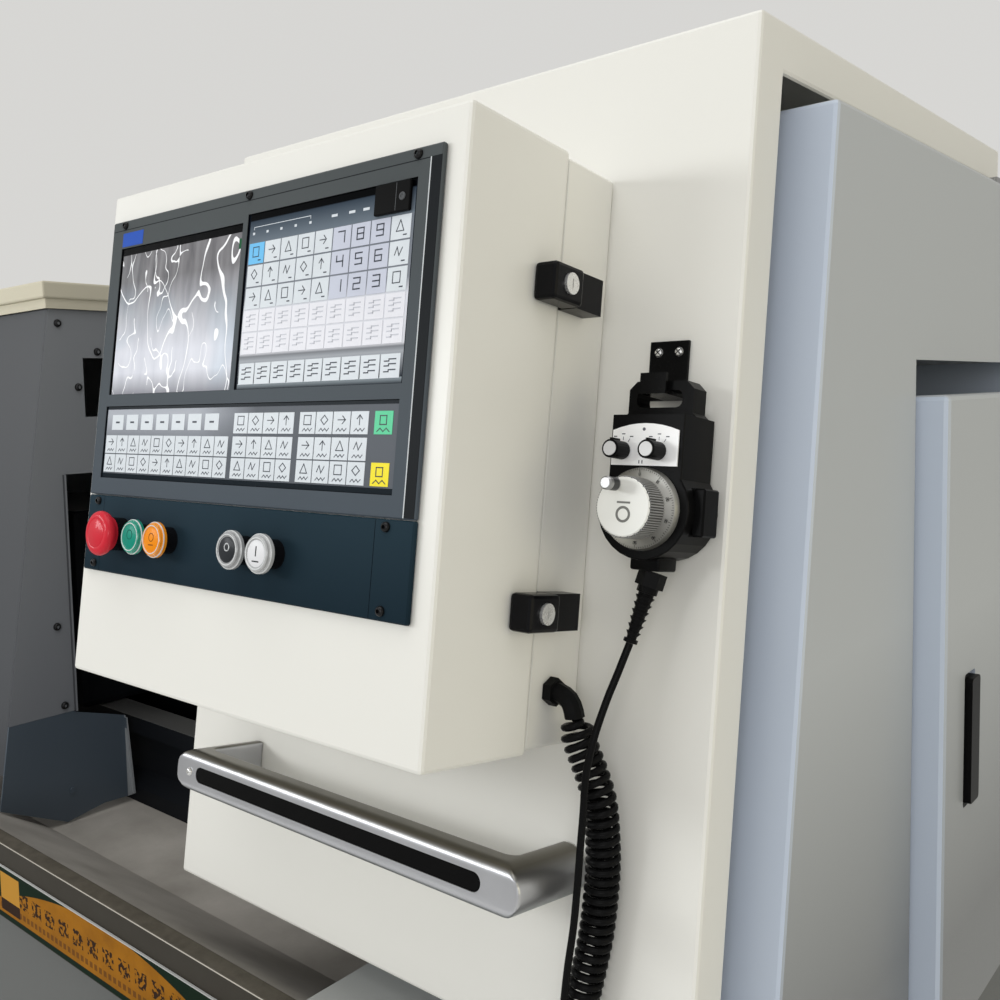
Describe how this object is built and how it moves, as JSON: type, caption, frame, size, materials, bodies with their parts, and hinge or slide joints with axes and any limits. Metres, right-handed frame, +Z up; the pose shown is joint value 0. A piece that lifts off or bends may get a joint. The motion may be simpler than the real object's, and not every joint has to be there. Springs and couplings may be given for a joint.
{
  "type": "cnc turning lathe",
  "caption": "Flat-bed turning lathe with a slanted sliding hood, hinged control box, hand pendant on a coiled cord, chuck, carriage, tailstock and cabinet.",
  "frame": {"origin": "on the floor under the middle of the machine", "axes": "+X along the spindle towards the tailstock, +Y to the back of the machine, +Z up"},
  "size_m": [1.8736, 0.9836, 1.7144],
  "materials": {
    "cream_paint": "textured cream powder coat",
    "light_grey_paint": "fine textured light grey powder coat",
    "dark_grey_paint": "satin dark grey paint",
    "base_paint": "satin mid grey paint",
    "tray_steel": "dull oiled steel sheet",
    "sign_green": "satin dark green enamel",
    "cast_iron": "painted and ground cast iron",
    "machined_steel": "ground steel",
    "chrome": "polished chrome",
    "brushed_aluminium": "satin anodised aluminium",
    "panel_grey": "satin charcoal paint",
    "black_plastic": "satin black plastic",
    "black_metal": "satin black die casting",
    "black_rubber": "satin black rubber",
    "screen_glass": "gloss dark display window under wrinkled film",
    "key_film": "satin pale key film",
    "stop_red": "satin red plastic",
    "lens_green": "clear green lens",
    "lens_orange": "clear orange lens",
    "lens_clear": "clear smoked lens",
    "lens_white": "clear white lens",
    "silver_plate": "satin silver graduated plate"
  },
  "bodies": {
    "machine": {"base": "base_paint", "chip_tray": "tray_steel", "sign_plate": "sign_green", "tray_end_cover": "light_grey_paint", "bed": "cast_iron", "headstock": "cast_iron", "spindle_motor": "dark_grey_paint", "headstock_cover": "cream_paint", "headstock_top_cover": "cream_paint", "side_wall": "dark_grey_paint", "lower_side_guard": "dark_grey_paint", "rear_guard": "light_grey_paint", "hood_rail": "machined_steel", "right_enclosure": "light_grey_paint", "electrical_cabinet": "light_grey_paint"},
    "spindle_and_chuck": {"spindle": "machined_steel", "chuck": "machined_steel"},
    "jaw_1": {"chuck_jaw_1": "machined_steel"},
    "jaw_2": {"chuck_jaw_2": "machined_steel"},
    "jaw_3": {"chuck_jaw_3": "machined_steel"},
    "saddle": {"carriage": "cast_iron"},
    "cross_carriage": {"cross_slide": "cast_iron"},
    "tool_turret": {"tool_post": "machined_steel"},
    "tail_body": {"tailstock": "cast_iron"},
    "quill": {"tailstock_quill": "machined_steel"},
    "tail_wheel": {"tailstock_wheel": "machined_steel"},
    "cabinet_door_leaf": {"cabinet_door": "light_grey_paint"},
    "cabinet_lever": {"door_lever": "black_plastic"},
    "hood": {"hood_shell": "cream_paint", "pull_handle": "brushed_aluminium", "handle_insert": "black_plastic", "box_rear": "cream_paint", "latch_upper": "black_metal", "latch_lower": "black_metal", "pendant_bracket": "black_metal", "pendant_case": "black_plastic", "pendant_face": "silver_plate", "pendant_strain_relief": "black_rubber", "pendant_cord": "black_rubber", "pendant_coil": "black_rubber", "box_gland": "black_rubber"},
    "lid": {"box_lid": "cream_paint", "operator_panel": "panel_grey", "display": "screen_glass", "keypad": "key_film", "key_strip": "key_film", "switch_plate": "panel_grey"},
    "key_upper_barrel": {"key_upper": "chrome"},
    "key_lower_barrel": {"key_lower": "chrome"},
    "card_flap": {"card_cover": "black_plastic"},
    "stop_head": {"stop_button": "stop_red"},
    "green_cap": {"button_green": "lens_green"},
    "orange_cap": {"button_orange": "lens_orange"},
    "clear_cap": {"button_clear": "lens_clear"},
    "white_cap": {"button_white": "lens_white"},
    "axis_knob": {"axis_selector": "black_plastic"},
    "rate_knob": {"rate_selector": "black_plastic"},
    "dial": {"pendant_dial": "silver_plate"},
    "crank": {"crank_knob": "black_plastic"},
    "enable_key": {"enable_button": "black_plastic"}
  },
  "joints": [
    {"name": "spindle_turn", "type": "hinge", "parent": "machine", "child": "spindle_and_chuck", "pos_m": [-0.29745, 0.04176, 1.1], "axis": [1, 0, 0], "continuous": true},
    {"name": "jaw_1_slide", "type": "slide", "parent": "spindle_and_chuck", "child": "jaw_1", "axis": [0, 0, 1], "range_m": [-0.012, 0.01]},
    {"name": "jaw_2_slide", "type": "slide", "parent": "spindle_and_chuck", "child": "jaw_2", "axis": [0, -0.866, -0.5], "range_m": [-0.012, 0.01]},
    {"name": "jaw_3_slide", "type": "slide", "parent": "spindle_and_chuck", "child": "jaw_3", "axis": [0, 0.866, -0.5], "range_m": [-0.012, 0.01]},
    {"name": "carriage_slide", "type": "slide", "parent": "machine", "child": "saddle", "axis": [1, 0, 0], "range_m": [-0.3, 0]},
    {"name": "cross_slide_travel", "type": "slide", "parent": "saddle", "child": "cross_carriage", "axis": [0, 1, 0], "range_m": [-0.06, 0.03]},
    {"name": "tool_post_index", "type": "hinge", "parent": "cross_carriage", "child": "tool_turret", "pos_m": [0.34375, -0.10324, 1.0103], "axis": [0, 0, 1], "continuous": true},
    {"name": "tailstock_slide", "type": "slide", "parent": "machine", "child": "tail_body", "axis": [1, 0, 0], "range_m": [-0.04, 0]},
    {"name": "tailstock_wheel_turn", "type": "hinge", "parent": "tail_body", "child": "tail_wheel", "pos_m": [0.66875, 0.04176, 1.1], "axis": [-1, 0, 0], "range_deg": [0, 4300]},
    {"name": "quill_slide", "type": "slide", "parent": "tail_body", "child": "quill", "axis": [-1, 0, 0], "range_m": [0, 0.06]},
    {"name": "cabinet_door_hinge", "type": "hinge", "parent": "machine", "child": "cabinet_door_leaf", "pos_m": [0.92225, 0.47106, 1.1075], "axis": [0, 0, 1], "range_deg": [0, 110]},
    {"name": "door_lever_lift", "type": "hinge", "parent": "cabinet_door_leaf", "child": "cabinet_lever", "pos_m": [0.92505, 0.13176, 1.15], "axis": [0, -1, 0], "range_deg": [0, 30]},
    {"name": "hood_slide", "type": "slide", "parent": "machine", "child": "hood", "axis": [-1, 0, 0], "range_m": [0, 0.525]},
    {"name": "box_lid_hinge", "type": "hinge", "parent": "hood", "child": "lid", "pos_m": [0.30825, -0.32633, 1.39284], "axis": [0, -0.1535, -0.9881], "range_deg": [0, 110]},
    {"name": "key_upper_turn", "type": "hinge", "parent": "hood", "child": "key_upper_barrel", "pos_m": [0.77325, -0.32337, 1.51483], "axis": [1, 0, 0], "range_deg": [0, 90]},
    {"name": "key_lower_turn", "type": "hinge", "parent": "hood", "child": "key_lower_barrel", "pos_m": [0.77325, -0.36036, 1.27669], "axis": [1, 0, 0], "range_deg": [0, 90]},
    {"name": "card_cover_hinge", "type": "hinge", "parent": "lid", "child": "card_flap", "pos_m": [0.67675, -0.42036, 1.57645], "axis": [0, -0.1535, -0.9881], "range_deg": [0, 90]},
    {"name": "stop_button_press", "type": "slide", "parent": "lid", "child": "stop_head", "axis": [0, 0.9881, -0.1535], "range_m": [0, 0.004], "stiffness_N_per_m": 1200},
    {"name": "button_green_press", "type": "slide", "parent": "lid", "child": "green_cap", "axis": [0, 0.9881, -0.1535], "range_m": [0, 0.003], "stiffness_N_per_m": 600},
    {"name": "button_orange_press", "type": "slide", "parent": "lid", "child": "orange_cap", "axis": [0, 0.9881, -0.1535], "range_m": [0, 0.003], "stiffness_N_per_m": 600},
    {"name": "button_clear_press", "type": "slide", "parent": "lid", "child": "clear_cap", "axis": [0, 0.9881, -0.1535], "range_m": [0, 0.003], "stiffness_N_per_m": 600},
    {"name": "button_white_press", "type": "slide", "parent": "lid", "child": "white_cap", "axis": [0, 0.9881, -0.1535], "range_m": [0, 0.003], "stiffness_N_per_m": 600},
    {"name": "axis_selector_turn", "type": "hinge", "parent": "hood", "child": "axis_knob", "pos_m": [0.81075, -0.30974, 1.39279], "axis": [0, -0.9881, 0.1535], "range_deg": [-75, 75]},
    {"name": "rate_selector_turn", "type": "hinge", "parent": "hood", "child": "rate_knob", "pos_m": [0.83965, -0.30974, 1.39279], "axis": [0, -0.9881, 0.1535], "range_deg": [-75, 75]},
    {"name": "dial_turn", "type": "hinge", "parent": "hood", "child": "dial", "pos_m": [0.82875, -0.31463, 1.35155], "axis": [0, -0.9881, 0.1535], "continuous": true},
    {"name": "crank_knob_turn", "type": "hinge", "parent": "dial", "child": "crank", "pos_m": [0.82505, -0.34222, 1.37132], "axis": [0, -0.9881, 0.1535], "continuous": true},
    {"name": "enable_button_press", "type": "slide", "parent": "hood", "child": "enable_key", "axis": [-1, 0, 0], "range_m": [0, 0.002], "stiffness_N_per_m": 600}
  ],
  "couplings": [
    {"joint": "jaw_2_slide", "follows": "jaw_1_slide", "ratio": 1},
    {"joint": "jaw_3_slide", "follows": "jaw_1_slide", "ratio": 1},
    {"joint": "quill_slide", "follows": "tailstock_wheel_turn", "m_per_rad": 0.00079577}
  ]
}
